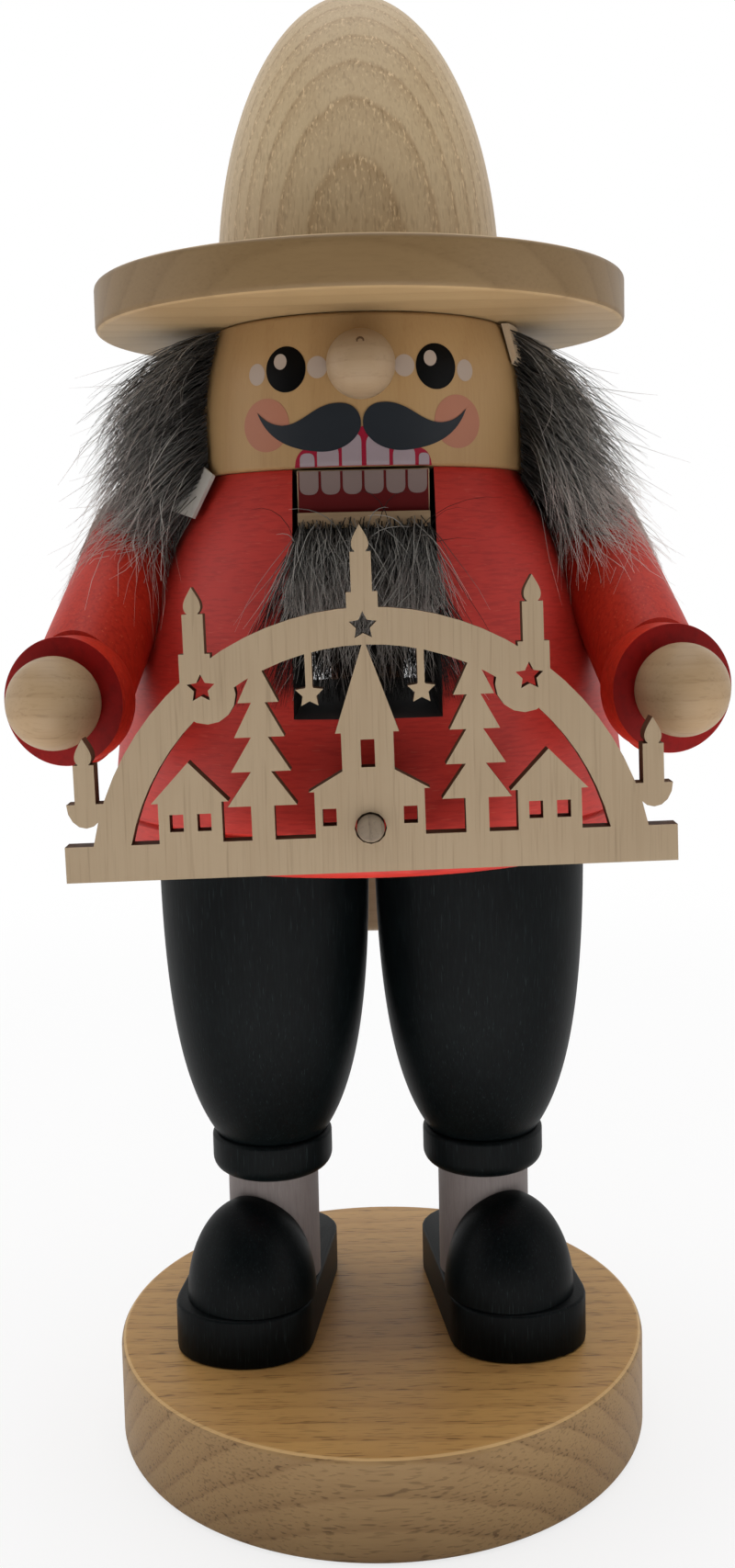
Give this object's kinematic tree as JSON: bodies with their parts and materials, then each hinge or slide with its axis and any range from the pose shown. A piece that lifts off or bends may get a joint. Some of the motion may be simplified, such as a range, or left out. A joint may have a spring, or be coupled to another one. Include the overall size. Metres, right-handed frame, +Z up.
{
  "type": "nutcracker with candle arch",
  "caption": "Turned wooden nutcracker figure in a tall brimmed hat and red coat, with a lever jaw, fur hair and beard, and a fretwork candle arch pegged to its belly.",
  "frame": {"origin": "centre of the base disc's underside", "axes": "+Z up, -Y the way the figure faces, +X its viewer's right"},
  "size_m": [0.137, 0.1286, 0.3005],
  "materials": {
    "beech": "clear satin lacquer, straight grain",
    "ash": "clear satin lacquer, open nested grain",
    "honey_wood": "clear satin lacquer",
    "plywood": "raw sawn faces with darker cut edges",
    "red_paint": "satin red paint on turned wood",
    "black_paint": "satin black paint on turned wood",
    "white_paint": "matt off-white paint",
    "grey_fur": "long-haired grey fur"
  },
  "bodies": {
    "figure": {"arch_peg": "beech", "base_disc": "beech", "candle_arch": "plywood", "coat_body": "red_paint", "cuff_left": "red_paint", "cuff_right": "red_paint", "hair_back": "grey_fur", "hair_left": "grey_fur", "hair_right": "grey_fur", "hand_left": "honey_wood", "hand_right": "honey_wood", "hat_brim": "ash", "hat_crown": "ash", "hat_dowel": "beech", "head": "honey_wood", "hip_dowel_left": "beech", "hip_dowel_right": "beech", "leg_dowel_left": "white_paint", "leg_dowel_right": "white_paint", "neck_dowel_left": "beech", "neck_dowel_right": "beech", "nose": "honey_wood", "pivot_pin": "beech", "shoulder_dowel_left": "beech", "shoulder_dowel_right": "beech", "sleeve_left": "red_paint", "sleeve_right": "red_paint", "sole_left": "black_paint", "sole_right": "black_paint", "toe_cap_left": "black_paint", "toe_cap_right": "black_paint", "trouser_left": "black_paint", "trouser_right": "black_paint"},
    "lever": {"jaw_lever": "honey_wood", "beard_fur": "grey_fur"}
  },
  "joints": [
    {"name": "jaw_hinge", "type": "hinge", "parent": "figure", "child": "lever", "pos_m": [0, 0.016, 0.1843], "axis": [1, 0, 0], "range_deg": [0, 18], "deforming": ["beard_fur"]}
  ]
}
